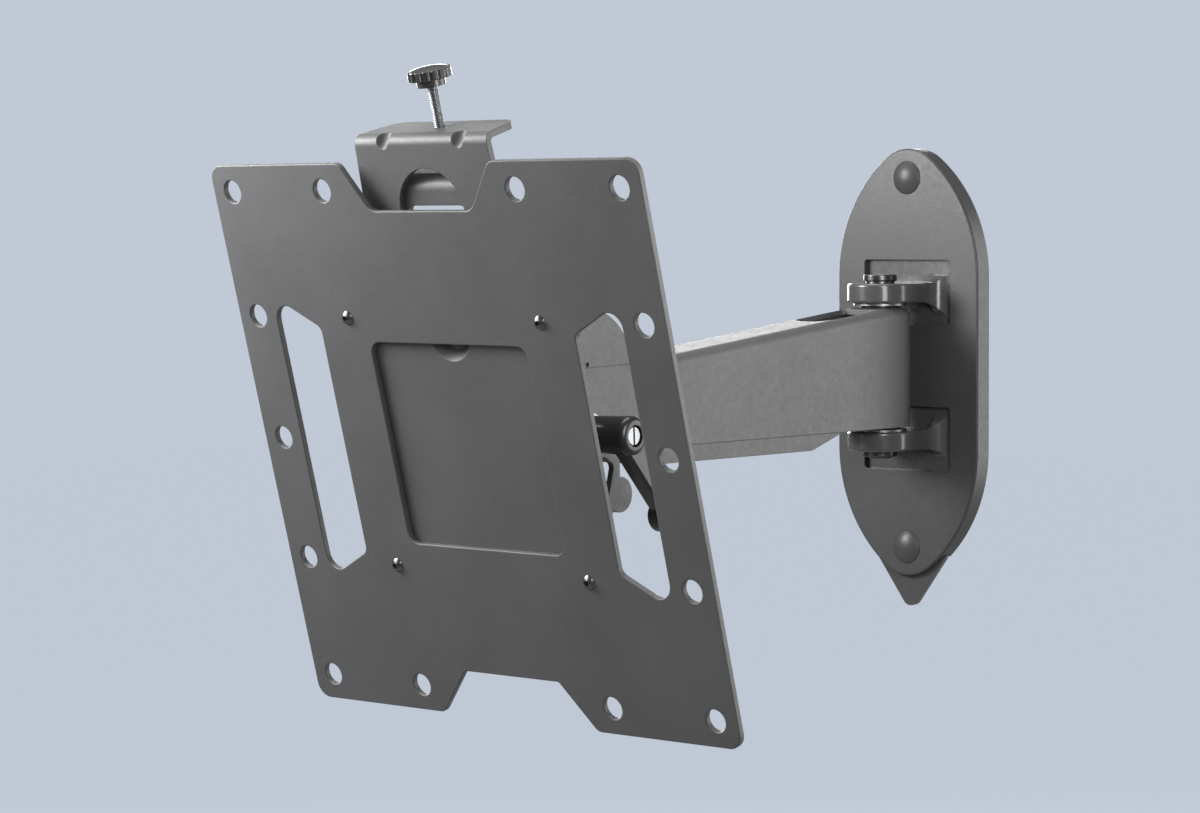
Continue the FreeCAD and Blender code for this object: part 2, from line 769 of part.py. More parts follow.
def side_strip(path, thick, inner_radius, half_width):
    """Folded sheet seen from the side: path is its front face from low to high, (y, z, turn).

    turn is +1 where the sheet folds towards its own thickness, -1 away from it, 0 at an end.
    """
    count = len(path)
    near = []
    far = []
    for i in range(count):
        y, z, turn = path[i]
        here = Vector(y, z, 0)
        directions = []
        if i > 0:
            directions.append((here - Vector(path[i - 1][0], path[i - 1][1], 0)).normalize())
        if i < count - 1:
            directions.append((Vector(path[i + 1][0], path[i + 1][1], 0) - here).normalize())
        normals = [Vector(d.y, -d.x, 0) for d in directions]
        middle = Vector(0, 0, 0)
        for normal in normals:
            middle = middle + normal
        middle.normalize()
        stretch = thick / middle.dot(normals[0])
        offset = here + middle * stretch
        near_radius = 0 if turn == 0 else (inner_radius + thick if turn > 0 else inner_radius)
        far_radius = 0 if turn == 0 else (inner_radius if turn > 0 else inner_radius + thick)
        near.append((here.x, here.y, near_radius))
        far.append((offset.x, offset.y, far_radius))
    return slab(near + far[::-1], "YZ", -half_width, half_width)


def hook_plate():
    """Panel behind the window, stepped back above it, with a folded top flange."""
    strip = side_strip([
        (plate_thick, -panel_half, 0),
        (plate_thick, step_low, 1),
        (web_front, step_high, -1),
        (web_front, web_top, 1),
        (flange_reach, web_top, 0),
    ], panel_sheet, sheet_inner_bend, panel_half)
    outline = [
        (-panel_half, -panel_half, 6),
        (panel_half, -panel_half, 6),
        (panel_half, step_low - 2, 8),
        (web_half_low, step_high + 10, 8),
        (web_half_high, web_top + 1, 0),
        (-web_half_high, web_top + 1, 0),
        (-web_half_low, step_high + 10, 8),
        (-panel_half, step_low - 2, 8),
    ]
    body = strip.common(slab(outline, "XZ", 0, flange_reach + 1))
    plan = [
        (-web_half_high - 10, plate_thick, 0),
        (web_half_high + 10, plate_thick, 0),
        (web_half_high + 10, web_back + 1, 0),
        (web_half_high, web_back + 1, 0),
        (flange_half, flange_reach, flange_corner),
        (-flange_half, flange_reach, flange_corner),
        (-web_half_high, web_back + 1, 0),
        (-web_half_high - 10, web_back + 1, 0),
    ]
    top = slab(plan, "XY", step_high + 20, web_top + 1)
    low = box(-panel_half - 1, panel_half + 1, 0, flange_reach + 1, -panel_half - 1, step_high + 20)
    body = body.common(one([top, low]))
    bend = sheet_inner_bend + panel_sheet
    envelope = slab([
        (web_front, step_high + 20, 0),
        (web_front, web_top, bend),
        (flange_reach, web_top, 0),
        (flange_reach, step_high + 20, 0),
    ], "YZ", -panel_half, panel_half)
    diagonal = Vector(0, 1, 1)
    for x in (-gusset_x, gusset_x):
        start = Vector(x, web_front - bend, web_top - bend) - diagonal * bend
        bulge = Part.makeCylinder(gusset_radius + panel_sheet, 8 * bend, start, diagonal).common(envelope)
        body = body.fuse(bulge)
    for x in (-gusset_x, gusset_x):
        start = Vector(x, web_front - bend, web_top - bend) - diagonal * bend
        body = body.cut(Part.makeCylinder(gusset_radius, 8 * bend, start, diagonal))
    arch = one([
        rod_y(arch_radius, web_front - 1, web_back + 1, 0, arch_centre),
        box(-arch_radius, arch_radius, web_front - 1, web_back + 1, arch_foot, arch_centre),
    ])
    body = body.cut(arch)
    for x, z in plate_screw_places():
        body = body.cut(rod_y(plate_screw_radius + assembly_clearance, 0, panel_back + 1, x, z))
    body = body.cut(rod_z(thumb_stud_radius + pin_clearance, flange_under - 1, web_top + 1, 0, thumb_y))
    body = body.fuse(dimple_cone(panel_sheet)).cut(dimple_cone(0))
    body = body.cut(rod_y(lock_screw_radius + assembly_clearance, 0, web_back + 1, 0, lock_screw_z))
    return body.removeSplitter()


def dimple_cone(sheet):
    """The pressed dimple's hollow, or its outside when grown by the sheet's thickness."""
    start = Vector(0, plate_thick + sheet, lock_screw_z)
    wide = dimple_radius + 0.8 * sheet
    narrow = dimple_floor_radius + 0.8 * sheet
    return Part.makeCone(wide, narrow, web_set_back, start, Vector(0, 1, 0))


def lock_screw():
    head = rod_y(lock_screw_head, web_front - lock_screw_head_thick, web_front, 0, lock_screw_z)
    head = soften(head, 0.7, lambda edge: edge.BoundBox.YMax < web_front - lock_screw_head_thick + 0.01)
    shank = rod_y(lock_screw_radius, web_front, hanger_back + lock_nut_height + 0.6, 0, lock_screw_z)
    socket = hex_bar(2 * lock_screw_socket, "XZ", web_front - lock_screw_head_thick - 1, web_front - 0.4,
                     0, lock_screw_z)
    return one([head, shank]).cut(socket)


def hex_nut(across, height, start, x, z, bore):
    nut = hex_bar(across, "XZ", start, start + height, x, z)
    return nut.cut(rod_y(bore, start - 1, start + height + 1, x, z))


def lock_nut():
    bore = lock_screw_radius + pin_clearance
    return hex_nut(lock_nut_across, lock_nut_height, hanger_back, 0, lock_screw_z, bore)


def plate_screw(x, z):
    ball = (plate_screw_head ** 2 + plate_screw_rise ** 2) / (2 * plate_screw_rise)
    dome = Part.makeSphere(ball, Vector(x, ball - plate_screw_rise, z))
    dome = dome.common(rod_y(plate_screw_head, -plate_screw_rise, 0, x, z))
    shank = rod_y(plate_screw_radius, 0, panel_back + plate_nut_height + 0.6, x, z)
    socket = hex_bar(2 * plate_screw_socket, "XZ", -plate_screw_rise - 1, -plate_screw_rise + 1.1, x, z)
    return one([dome, shank]).cut(socket)


def plate_screws():
    return Part.makeCompound([plate_screw(x, z) for x, z in plate_screw_places()])


def plate_nuts():
    bore = plate_screw_radius + pin_clearance
    places = plate_screw_places()
    nuts = [hex_nut(plate_nut_across, plate_nut_height, panel_back, x, z, bore) for x, z in places]
    return Part.makeCompound(nuts)


def hanger_plate():
    """Plate that carries the hooks: its top edge is folded back to a lip."""
    strip = side_strip([
        (web_back, hanger_bottom, 0),
        (web_back, hanger_top, 1),
        (hanger_lip_reach, hanger_top, 0),
    ], panel_sheet, hanger_bend, hanger_half)
    outline = [
        (-hanger_half, hanger_bottom, 6),
        (hanger_half, hanger_bottom, 6),
        (hanger_half, hanger_top + 1, 0),
        (-hanger_half, hanger_top + 1, 0),
    ]
    body = strip.common(slab(outline, "XZ", web_back, hanger_lip_reach + 1))
    window = [
        (-hanger_window_half, hanger_window_low, 5),
        (hanger_window_half, hanger_window_low, 5),
        (hanger_window_half, hanger_window_high, 3),
        (-hanger_window_half, hanger_window_high, 3),
    ]
    body = body.cut(slab(window, "XZ", web_back - 1, hanger_back + 1))
    screw_hole = rod_y(lock_screw_radius + assembly_clearance, web_back - 1, hanger_back + 1, 0, lock_screw_z)
    return body.cut(screw_hole)


def hang_hook():
    """Folded tab on the back of the hook plate, resting on the hanger's lip."""
    return side_strip([
        (web_back + hook_sheet, hanger_top + hook_rise, 0),
        (web_back + hook_sheet, hanger_top + hook_sheet, -1),
        (hanger_lip_reach - 1, hanger_top + hook_sheet, 0),
    ], hook_sheet, 0.8, hook_width / 2)


def hang_hooks():
    tabs = []
    for side in (1, -1):
        tab = hang_hook()
        tab.translate(Vector(side * (hook_inner + hook_width / 2), 0, 0))
        tabs.append(tab)
    return Part.makeCompound(tabs)


def tangent_point(y, z, side):
    """Where a line from (y, z) touches the yoke's round nose, on its upper or lower side."""
    from_y = y - axis_behind_plate
    from_z = z + axis_below_centre
    distance = math.hypot(from_y, from_z)
    angle = math.atan2(from_z, from_y) - side * math.acos(yoke_nose_radius / distance)
    return (axis_behind_plate + yoke_nose_radius * math.cos(angle),
            -axis_below_centre + yoke_nose_radius * math.sin(angle))


def tilt_yoke():
    """Folded yoke: a web on the hanger plate and two cheeks that reach back to the tilt bolt."""
    y = axis_behind_plate
    z = -axis_below_centre
    high = tangent_point(hanger_back, yoke_web_high, 1)
    low = tangent_point(hanger_back, yoke_web_low, -1)
    side = slab([
        (hanger_back, yoke_web_low, 2),
        (low[0], low[1], 0),
        (y, z, 0),
        (high[0], high[1], 0),
        (hanger_back, yoke_web_high, 2),
    ], "YZ", -yoke_half, yoke_half)
    nose = rod_x(yoke_nose_radius, -yoke_half, yoke_half, y, z)
    finger = slab([
        (y - 16, z - 10, 0),
        (y + 2, z - 10, 0),
        (y + 7.5, z - 18.5, 3),
        (y + 12.5, z - 31, 4),
        (y - 3, z - 32, 4),
    ], "YZ", -yoke_half, yoke_half)
    body = one([side, nose, finger])
    body = body.cut(box(-yoke_inner, yoke_inner, hanger_back + yoke_sheet, y + 60, z - 60, z + 60))
    body = body.cut(rod_x(tilt_bolt_radius + pin_clearance, -20, 20, y, z))
    pin_y, pin_z = stop_place()
    return body.cut(rod_x(stop_pin_radius + pin_clearance, -20, 20, pin_y, pin_z))


def stop_place():
    """The stop pin's place in the screen plate's frame."""
    angle = math.radians(stop_angle - tilt_now)
    behind = axis_behind_plate + stop_radius * math.cos(angle)
    return behind, -axis_below_centre + stop_radius * math.sin(angle)


def stop_pin():
    pin_y, pin_z = stop_place()
    pin = rod_x(stop_pin_radius, -arm_half_width - 1.5, arm_half_width + 1.5, pin_y, pin_z)
    return soften(pin, 0.4, lambda edge: edge.BoundBox.XLength < 0.01)


def tilt_spacer():
    bore = tilt_bolt_radius + free_clearance
    tube = rod_x(bore + spacer_wall, -yoke_inner, yoke_inner, axis_behind_plate, -axis_below_centre)
    return tube.cut(rod_x(bore, -yoke_inner - 1, yoke_inner + 1, axis_behind_plate, -axis_below_centre))


def thumb_nut():
    nut = hex_bar(thumb_nut_across, "XY", flange_under - thumb_nut_height, flange_under, 0, thumb_y)
    return nut.cut(rod_z(thumb_stud_radius + pin_clearance, 0, web_top, 0, thumb_y))


def thumb_stud():
    low = web_top - thumb_tip_below
    high = web_top + thumb_show + thumb_socket_depth
    stud = rod_z(thumb_stud_radius, low, high, 0, thumb_y)
    return soften(stud, 0.5, lambda edge: edge.BoundBox.ZMax < low + 0.01)


def thumb_knob():
    low = web_top + thumb_show
    rim_low = low + knob_collar
    rim_high = rim_low + knob_rim
    collar = rod_z(knob_collar_radius, low, rim_low, 0, thumb_y)
    rim = rod_z(knob_radius, rim_low, rim_high, 0, thumb_y)
    for k in range(knob_flutes):
        angle = 2 * math.pi * k / knob_flutes
        reach = knob_radius + knob_flute_radius * 0.45
        x = reach * math.cos(angle)
        y = thumb_y + reach * math.sin(angle)
        rim = rim.cut(rod_z(knob_flute_radius, rim_low - 1, rim_high + 1, x, y))
    dome_radius = knob_radius - 1.2
    ball = (dome_radius ** 2 + knob_dome ** 2) / (2 * knob_dome)
    dome = Part.makeSphere(ball, Vector(0, thumb_y, rim_high + knob_dome - ball))
    dome = dome.common(rod_z(dome_radius, rim_high, rim_high + knob_dome, 0, thumb_y))
    rim = soften(rim, 0.4, lambda edge: edge.BoundBox.ZLength < 0.01)
    body = one([collar, rim, dome])
    socket_top = low + thumb_socket_depth + 0.3
    return body.cut(rod_z(thumb_stud_radius + pin_clearance, low - 1, socket_top, 0, thumb_y))


def clamp_lever():
    """Hub on the tilt bolt with a leg that hangs down and back and ends in a rounded pad."""
    hub = Part.makeCone(hub_radius, hub_shoulder_radius, hub_end - washer_outside,
                        Vector(washer_outside, tilt_axis_y, tilt_axis_z), Vector(1, 0, 0))
    hub = soften(hub, hub_rounding, lambda edge: edge.BoundBox.XMin > hub_end - 0.01)
    leg = slab([
        (-lever_root_half, 0, 0),
        (-lever_tip_half, -lever_reach, 0),
        (lever_tip_half, -lever_reach, 0),
        (lever_root_half, 0, 0),
    ], "YZ", lever_x_in, lever_x_out)
    leg = soften(leg, lever_edge,
                 lambda edge: edge.BoundBox.XLength < 0.01 and edge.Length > lever_reach - 1)
    pad = rod_x(lever_pad_radius, lever_x_in - lever_pad_swell, lever_x_out + lever_pad_swell,
                0, -lever_reach)
    pad = soften(pad, 1.2, lambda edge: edge.BoundBox.XLength < 0.01)
    limb = leg.fuse(pad)
    limb.rotate(Vector(0, 0, 0), Vector(1, 0, 0), lever_angle)
    limb.translate(Vector(0, tilt_axis_y, tilt_axis_z))
    body = one([hub, limb])
    body = body.cut(rod_x(insert_radius + pin_clearance, washer_outside - 1, hub_floor_in,
                          tilt_axis_y, tilt_axis_z))
    body = body.cut(rod_x(hub_recess_radius, hub_floor_out, hub_end + 1, tilt_axis_y, tilt_axis_z))
    return body.cut(rod_x(lever_screw_radius + pin_clearance, 0, hub_end, tilt_axis_y, tilt_axis_z))


def lever_insert():
    """Threaded insert that turns on the bolt; the lever engages it."""
    body = rod_x(insert_radius, washer_outside, insert_end, tilt_axis_y, tilt_axis_z)
    bore = rod_x(tilt_bolt_radius + pin_clearance, washer_outside - 1, bolt_reach + 0.3,
                 tilt_axis_y, tilt_axis_z)
    return body.cut(bore).cut(rod_x(lever_screw_radius + pin_clearance, bolt_reach, insert_end + 1,
                                    tilt_axis_y, tilt_axis_z))


def lever_screw():
    head = rod_x(lever_screw_head, lever_screw_head_in, lever_screw_head_out, tilt_axis_y, tilt_axis_z)
    head = soften(head, 0.4, lambda edge: edge.BoundBox.XMin > lever_screw_head_out - 0.01)
    shank = rod_x(lever_screw_radius, bolt_reach + 1.5, lever_screw_head_in, tilt_axis_y, tilt_axis_z)
    groove = box(lever_screw_head_out - 1.0, lever_screw_head_out + 1,
                 tilt_axis_y - 5, tilt_axis_y + 5, -0.45, 0.45)
    groove.translate(Vector(0, 0, tilt_axis_z))
    groove.rotate(Vector(0, tilt_axis_y, tilt_axis_z), Vector(1, 0, 0), 92)
    return one([head, shank]).cut(groove)


def lever_spring():
    """Coil that pulls the lever down on the insert, between the hub's floor and the screw head."""
    length = lever_screw_head_in - hub_floor_out - 2 * spring_wire - 0.1
    helix = Part.makeHelix(length / spring_turns, length, spring_radius)
    section = Part.Wire(Part.makeCircle(spring_wire, Vector(spring_radius, 0, 0), Vector(0, 1, 0)))
    coil = Part.Wire(helix).makePipeShell([section], True, True)
    coil.rotate(Vector(0, 0, 0), Vector(0, 1, 0), 90)
    coil.translate(Vector(hub_floor_out + spring_wire + 0.05, tilt_axis_y, tilt_axis_z))
    return coil


def build():
    upper_gap_low = arm_flat_top + bush_flange
    lower_gap_high = arm_bottom - bush_flange
    fixed = {
        "wall_bracket": wall_bracket(),
        "wall_cover": wall_cover(),
        "screw_caps": screw_caps(),
        "swivel_pin": swivel_pin(),
        "swivel_retainer": swivel_retainer(),
        "upper_thrust_washer": thrust_washer(upper_gap_low, upper_lug_bottom),
        "lower_thrust_washer": thrust_washer(lower_lug_top, lower_gap_high),
        "arm_channel": arm_channel(),
        "pivot_sleeve": pivot_sleeve(),
        "upper_swivel_bush": swivel_bush(arm_flat_top, -1),
        "lower_swivel_bush": swivel_bush(arm_bottom, 1),
        "cable_cover": cable_cover(),
        "tilt_bolt": tilt_bolt(),
        "tilt_washers": outer_washers(),
        "friction_washers": friction_washers(),
        "clamp_lever": clamp_lever(),
        "lever_insert": lever_insert(),
        "lever_screw": lever_screw(),
        "lever_spring": lever_spring(),
    }
    leaning = {
        "screen_plate": screen_plate(),
        "hook_plate": hook_plate(),
        "plate_screws": plate_screws(),
        "plate_nuts": plate_nuts(),
        "lock_screw": lock_screw(),
        "lock_nut": lock_nut(),
        "hanger_plate": hanger_plate(),
        "hang_hooks": hang_hooks(),
        "tilt_yoke": tilt_yoke(),
        "tilt_stop_pin": stop_pin(),
        "tilt_spacer": tilt_spacer(),
        "thumb_nut": thumb_nut(),
        "thumb_stud": thumb_stud(),
        "thumb_knob": thumb_knob(),
    }
    for name, shape in fixed.items():
        save(shape, name)
    for name, shape in leaning.items():
        save(to_screen(shape), name)


build()
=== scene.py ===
import bmesh
import bpy
import json
import math
from mathutils import Matrix, Vector


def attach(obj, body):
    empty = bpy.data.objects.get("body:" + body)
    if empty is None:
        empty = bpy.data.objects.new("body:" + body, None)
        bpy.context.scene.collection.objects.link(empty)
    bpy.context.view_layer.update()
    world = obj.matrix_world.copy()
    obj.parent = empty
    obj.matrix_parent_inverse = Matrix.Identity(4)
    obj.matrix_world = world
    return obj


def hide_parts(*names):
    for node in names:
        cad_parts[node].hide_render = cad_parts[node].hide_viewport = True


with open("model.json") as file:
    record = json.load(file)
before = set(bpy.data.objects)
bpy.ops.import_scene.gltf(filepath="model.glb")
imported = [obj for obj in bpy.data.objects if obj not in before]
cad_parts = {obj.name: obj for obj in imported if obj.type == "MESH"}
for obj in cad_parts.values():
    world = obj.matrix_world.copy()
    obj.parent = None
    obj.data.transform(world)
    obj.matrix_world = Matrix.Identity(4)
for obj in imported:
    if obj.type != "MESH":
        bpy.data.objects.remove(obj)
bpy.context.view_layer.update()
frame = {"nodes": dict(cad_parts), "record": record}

bl_info = {
    "name": "Screen Wall Mount",
    "version": (1, 0, 0),
    "blender": (4, 5, 0),
    "location": "View3D > Sidebar > Mount",
    "description": "Dresses a tilting and swivelling screen mount on its construction model",
    "category": "Object",
}

MM = 0.001
TILT_AXIS = Vector((0.0, -230.0, -19.1)) * MM
PLATE_FROM_AXIS = Vector((0.0, -53.0, 10.9)) * MM
LEAN = math.radians(15.0)

# The screen plate's own frame: x right, y towards the wall, z up the plate
TO_SCREEN = (Matrix.Translation(TILT_AXIS) @ Matrix.Rotation(LEAN, 4, "X")
             @ Matrix.Translation(PLATE_FROM_AXIS))

# Thumb screw and weld beads, in the screen plate's frame
THUMB_SCREW_AXIS = Vector((0.0, 18.5, 0.0)) * MM
THREAD_END_GAP = 0.05 * MM
THREAD_DEPTH_PER_PITCH = 0.55
GROOVE_SHARPNESS = 1.5
YOKE_WELD = (9.3 * MM, 11.5 * MM)
YOKE_WELD_HEIGHTS = (-38.0 * MM, 16.0 * MM)
HOOK_WELD = (9.0 * MM, 105.2 * MM)
HOOK_WELD_REACH = (20.4 * MM, 25.1 * MM)
HOOK_WELD_SHARE = 0.8
BEAD_ROUNDING = 0.45
THREAD_CREASE = 50
WELD_CREASE = 60

# Noise scales of the finishes, per metre, and the heights that their bumps stand for
TONE_SCALE = 26.0
RUB_SCALE = 160.0
SPECK_SCALE = 420.0
MOTTLE_SCALE = 240.0
SCRATCH_SCALE = (900.0, 900.0, 6000.0)
GRAIN_HEIGHT = 0.3 * MM
SCRATCH_HEIGHT = 0.1 * MM
PLATED_EDGE = 0.2 * MM
BEVEL_SAMPLES = 6
RUBBED_COAT = (0.2, 0.2, 0.21)
COAT_SPREAD = 0.05
METAL_SPREAD = 0.06
COAT_ROUGHNESS = 0.12

# Camera: place in metres, and its right and forward directions
CAMERA_PLACE = (0.894342, -1.208681, 0.06559)
CAMERA_RIGHT = (0.745574, 0.66641, -0.00415)
CAMERA_AHEAD = (-0.665533, 0.744243, -0.056285)
SENSOR_WIDTH = 36.0

# Floor and light
FLOOR_SIZE = 6.0
FLOOR_GREY = 0.28
FLOOR_SHADOW_SHARE = 0.05
ROOM_LIGHT = 0.16


# Materials

def group_socket(group, name, kind, way, value=None):
    socket = group.interface.new_socket(name=name, in_out=way, socket_type=kind)
    if value is not None:
        socket.default_value = value
    return socket


def link(tree, source, target):
    tree.links.new(source, target)


def add_node(tree, kind, **settings):
    made = tree.nodes.new(kind)
    for key, value in settings.items():
        setattr(made, key, value)
    return made


def noise(tree, vector, scale, detail=3.0, roughness=0.55):
    """Value of a noise texture."""
    made = add_node(tree, "ShaderNodeTexNoise")
    made.inputs["Scale"].default_value = scale
    made.inputs["Detail"].default_value = detail
    made.inputs["Roughness"].default_value = roughness
    link(tree, vector, made.inputs["Vector"])
    return made.outputs["Fac"]


def remap(tree, value, low, high, to_low, to_high):
    """Value stretched from low..high to to_low..to_high, which may be numbers or sockets."""
    made = add_node(tree, "ShaderNodeMapRange")
    made.inputs["From Min"].default_value = low
    made.inputs["From Max"].default_value = high
    for name, source in (("To Min", to_low), ("To Max", to_high)):
        if hasattr(source, "is_output"):
            link(tree, source, made.inputs[name])
        else:
            made.inputs[name].default_value = source
    link(tree, value, made.inputs["Value"])
    return made.outputs["Result"]


def math_node(tree, operation, first, second):
    made = add_node(tree, "ShaderNodeMath", operation=operation)
    for socket, source in zip(made.inputs, (first, second)):
        if hasattr(source, "is_output"):
            link(tree, source, socket)
        else:
            socket.default_value = source
    return made.outputs[0]


def bump(tree, height, strength, distance, normal=None):
    """Normal of a surface that rises and falls with height."""
    made = add_node(tree, "ShaderNodeBump")
    link(tree, height, made.inputs["Height"])
    for name, source in (("Strength", strength), ("Distance", distance)):
        if hasattr(source, "is_output"):
            link(tree, source, made.inputs[name])
        else:
            made.inputs[name].default_value = source
    if normal is not None:
        link(tree, normal, made.inputs["Normal"])
    return made.outputs["Normal"]


def new_group(name):
    """Empty shader group with its nodes."""
    group = bpy.data.node_groups.new(name, "ShaderNodeTree")
    return group, group.nodes


def coat_group():
    """Powder coat: orange-peel grain, slow tone drift, rounded and slightly rubbed edges."""
    group, nodes = new_group("Powder Coat Surface")
    group_socket(group, "Grain Size", "NodeSocketFloat", "INPUT", 900.0)
    group_socket(group, "Grain Depth", "NodeSocketFloat", "INPUT", 0.3)
    group_socket(group, "Edge Radius", "NodeSocketFloat", "INPUT", 0.0005)
    group_socket(group, "Tone", "NodeSocketFloat", "OUTPUT")
    group_socket(group, "Rubbed", "NodeSocketFloat", "OUTPUT")
    group_socket(group, "Roughness", "NodeSocketFloat", "OUTPUT")
    group_socket(group, "Normal", "NodeSocketVector", "OUTPUT")
    entry = nodes.new("NodeGroupInput")
    exit_node = nodes.new("NodeGroupOutput")
    where = nodes.new("ShaderNodeTexCoord").outputs["Object"]
    rounded = add_node(group, "ShaderNodeBevel", samples=BEVEL_SAMPLES)
    link(group, entry.outputs["Edge Radius"], rounded.inputs["Radius"])
    grain = add_node(group, "ShaderNodeTexNoise")
    grain.inputs["Detail"].default_value = 2.0
    link(group, where, grain.inputs["Vector"])
    link(group, entry.outputs["Grain Size"], grain.inputs["Scale"])
    skin = bump(group, grain.outputs["Fac"], entry.outputs["Grain Depth"], GRAIN_HEIGHT,
                rounded.outputs["Normal"])
    link(group, skin, exit_node.inputs["Normal"])
    drift = noise(group, where, TONE_SCALE, 4.0)
    link(group, remap(group, drift, 0.3, 0.7, 0.0, 1.0), exit_node.inputs["Tone"])
    geometry = nodes.new("ShaderNodeNewGeometry")
    turned = add_node(group, "ShaderNodeVectorMath", operation="DOT_PRODUCT")
    link(group, rounded.outputs["Normal"], turned.inputs[0])
    link(group, geometry.outputs["Normal"], turned.inputs[1])
    edge = remap(group, turned.outputs["Value"], 0.98, 0.82, 0.0, 1.0)
    patches = remap(group, noise(group, where, RUB_SCALE, 5.0, 0.7), 0.5, 0.66, 0.0, 1.0)
    link(group, math_node(group, "MULTIPLY", edge, patches), exit_node.inputs["Rubbed"])
    speck = noise(group, where, SPECK_SCALE, 3.0)
    link(group, remap(group, speck, 0.3, 0.7, 0.0, 1.0), exit_node.inputs["Roughness"])
    return group


def metal_group():
    """Plated or turned steel: fine scratches, faint mottling and rounded edges."""
    group, nodes = new_group("Plated Steel Surface")
    group_socket(group, "Scratch Depth", "NodeSocketFloat", "INPUT", 0.15)
    group_socket(group, "Tone", "NodeSocketFloat", "OUTPUT")
    group_socket(group, "Roughness", "NodeSocketFloat", "OUTPUT")
    group_socket(group, "Normal", "NodeSocketVector", "OUTPUT")
    entry = nodes.new("NodeGroupInput")
    exit_node = nodes.new("NodeGroupOutput")
    where = nodes.new("ShaderNodeTexCoord").outputs["Object"]
    stretched = nodes.new("ShaderNodeMapping")
    stretched.inputs["Scale"].default_value = SCRATCH_SCALE
    link(group, where, stretched.inputs["Vector"])
    lines = add_node(group, "ShaderNodeTexNoise")
    lines.inputs["Scale"].default_value = 1.0
    lines.inputs["Detail"].default_value = 3.0
    link(group, stretched.outputs["Vector"], lines.inputs["Vector"])
    rounded = add_node(group, "ShaderNodeBevel", samples=BEVEL_SAMPLES)
    rounded.inputs["Radius"].default_value = PLATED_EDGE
    fine = bump(group, lines.outputs["Fac"], entry.outputs["Scratch Depth"], SCRATCH_HEIGHT,
                rounded.outputs["Normal"])
    link(group, fine, exit_node.inputs["Normal"])
    mottle = noise(group, where, MOTTLE_SCALE, 4.0)
    link(group, remap(group, mottle, 0.3, 0.7, 0.0, 1.0), exit_node.inputs["Tone"])
    link(group, remap(group, lines.outputs["Fac"], 0.3, 0.7, 0.0, 1.0), exit_node.inputs["Roughness"])
    return group


def blend_colour(tree, factor, first, second):
    """Colour that goes from first to second, each a colour or a socket."""
    made = add_node(tree, "ShaderNodeMix", data_type="RGBA")
    link(tree, factor, made.inputs["Factor"])
    for name, source in (("A", first), ("B", second)):
        socket = [s for s in made.inputs if s.name == name and s.type == "RGBA"][0]
        if hasattr(source, "is_output"):
            link(tree, source, socket)
        else:
            socket.default_value = (*source, 1.0)
    return [s for s in made.outputs if s.type == "RGBA"][0]


def base_material(name):
    """Material with one Principled shader on its output."""
    material = bpy.data.materials.new(name)
    material.use_nodes = True
    tree = material.node_tree
    tree.nodes.clear()
    shader = tree.nodes.new("ShaderNodeBsdfPrincipled")
    output = tree.nodes.new("ShaderNodeOutputMaterial")
    link(tree, shader.outputs["BSDF"], output.inputs["Surface"])
    return material, tree, shader


def use_group(tree, group, values):
    made = add_node(tree, "ShaderNodeGroup", node_tree=group)
    for key, value in values.items():
        made.inputs[key].default_value = value
    return made


def coated(name, groups, dark, light, rough, grain, depth, edge, coat=0.0, wear=0.35):
    """Painted or moulded surface: colour drifts from dark to light, edges are rubbed."""
    material, tree, shader = base_material(name)
    settings = {"Grain Size": grain, "Grain Depth": depth, "Edge Radius": edge}
    surface = use_group(tree, groups["coat"], settings)
    body = blend_colour(tree, surface.outputs["Tone"], dark, light)
    rubbed = math_node(tree, "MULTIPLY", surface.outputs["Rubbed"], wear)
    link(tree, blend_colour(tree, rubbed, body, RUBBED_COAT), shader.inputs["Base Color"])
    spread = remap(tree, surface.outputs["Roughness"], 0.0, 1.0, rough - COAT_SPREAD, rough + COAT_SPREAD)
    link(tree, spread, shader.inputs["Roughness"])
    link(tree, surface.outputs["Normal"], shader.inputs["Normal"])
    shader.inputs["Coat Weight"].default_value = coat
    shader.inputs["Coat Roughness"].default_value = COAT_ROUGHNESS
    return material


def plated(name, groups, dark, light, rough, depth):
    """Bare or plated metal: tone mottles from dark to light, fine scratches run round it."""
    material, tree, shader = base_material(name)
    surface = use_group(tree, groups["metal"], {"Scratch Depth": depth})
    link(tree, blend_colour(tree, surface.outputs["Tone"], dark, light), shader.inputs["Base Color"])
    spread = remap(tree, surface.outputs["Roughness"], 0.0, 1.0, rough - METAL_SPREAD, rough + METAL_SPREAD)
    link(tree, spread, shader.inputs["Roughness"])
    link(tree, surface.outputs["Normal"], shader.inputs["Normal"])
    shader.inputs["Metallic"].default_value = 1.0
    return material


class MountFinishes(bpy.types.PropertyGroup):
    """Colours and roughness of the mount's surfaces."""
    steel_colour: bpy.props.FloatVectorProperty(
        name="Steel Coat", description="Powder coat on the folded steel", default=(0.118, 0.119, 0.122),
        subtype="COLOR", size=3, min=0.0, max=1.0)
    cast_colour: bpy.props.FloatVectorProperty(
        name="Casting Coat", description="Coat on the wall bracket", default=(0.085, 0.086, 0.088),
        subtype="COLOR", size=3, min=0.0, max=1.0)
    plastic_colour: bpy.props.FloatVectorProperty(
        name="Cover Plastic", description="Wall cover, caps and cable cover", default=(0.068, 0.069, 0.071),
        subtype="COLOR", size=3, min=0.0, max=1.0)
    black_colour: bpy.props.FloatVectorProperty(
        name="Black Parts", description="Knob, lever and nylon parts", default=(0.02, 0.02, 0.021),
        subtype="COLOR", size=3, min=0.0, max=1.0)
    zinc_colour: bpy.props.FloatVectorProperty(
        name="Zinc", description="Zinc on small fasteners, darker on pin and screws",
        default=(0.37, 0.38, 0.392), subtype="COLOR", size=3, min=0.0, max=1.0)
    steel_roughness: bpy.props.FloatProperty(
        name="Steel Roughness", description="Gloss of the powder coat", default=0.47,
        subtype="FACTOR", min=0.1, max=0.9)
    grain_size: bpy.props.FloatProperty(
        name="Grain", description="Fineness of the powder coat's grain", default=1500.0,
        min=200.0, max=4000.0)


